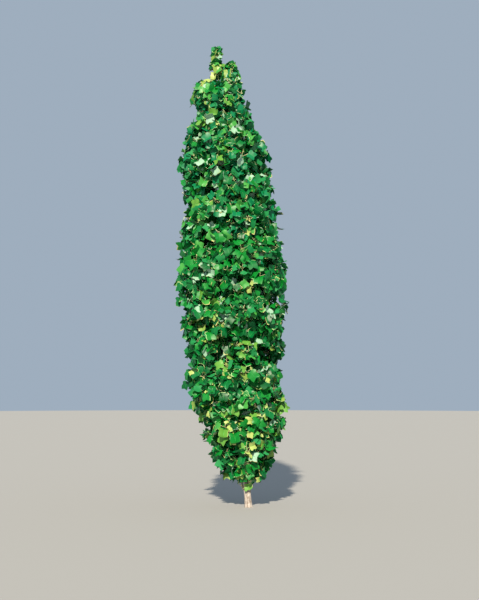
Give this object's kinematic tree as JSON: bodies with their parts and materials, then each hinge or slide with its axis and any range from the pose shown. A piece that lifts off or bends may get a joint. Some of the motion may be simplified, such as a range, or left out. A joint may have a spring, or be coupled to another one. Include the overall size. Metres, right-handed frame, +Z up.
{
  "type": "columnar tulip tree",
  "caption": "Slender columnar tulip tree in full leaf: a pale, slightly leaning trunk with a flared foot, steep boughs and dense leafy masses up to a slim leading shoot.",
  "frame": {"origin": "centre of the trunk's flat cut at ground level", "axes": "+Z up, -Y towards the side of the tree that the picture shows, +X to the right in the picture"},
  "size_m": [1.6429, 1.5912, 6.4817],
  "materials": {
    "bark": "matt, shallowly furrowed",
    "foliage": "satin leaves"
  },
  "bodies": {
    "root": {"trunk": "bark", "bough_01": "bark", "bough_02": "bark", "bough_03": "bark", "bough_04": "bark", "bough_05": "bark", "bough_06": "bark", "bough_07": "bark", "bough_08": "bark", "bough_09": "bark", "bough_10": "bark", "bough_11": "bark", "bough_12": "bark", "bough_13": "bark", "bough_14": "bark", "bough_15": "bark", "bough_16": "bark", "bough_17": "bark", "bough_18": "bark", "bough_19": "bark", "bough_20": "bark", "bough_21": "bark", "bough_22": "bark", "bough_23": "bark", "bough_24": "bark", "bough_25": "bark", "foliage_01": "foliage", "foliage_02": "foliage", "foliage_03": "foliage", "foliage_04": "foliage", "foliage_05": "foliage", "foliage_06": "foliage", "foliage_07": "foliage", "foliage_08": "foliage", "foliage_09": "foliage", "foliage_10": "foliage", "foliage_11": "foliage", "foliage_12": "foliage", "foliage_13": "foliage", "foliage_14": "foliage", "foliage_15": "foliage", "foliage_16": "foliage", "foliage_17": "foliage", "foliage_18": "foliage", "foliage_19": "foliage", "foliage_20": "foliage", "foliage_21": "foliage", "foliage_22": "foliage", "foliage_23": "foliage", "foliage_24": "foliage", "foliage_25": "foliage", "foliage_leading_shoot": "foliage", "foliage_left_shoulder": "foliage", "foliage_second_tip": "foliage"}
  },
  "joints": []
}
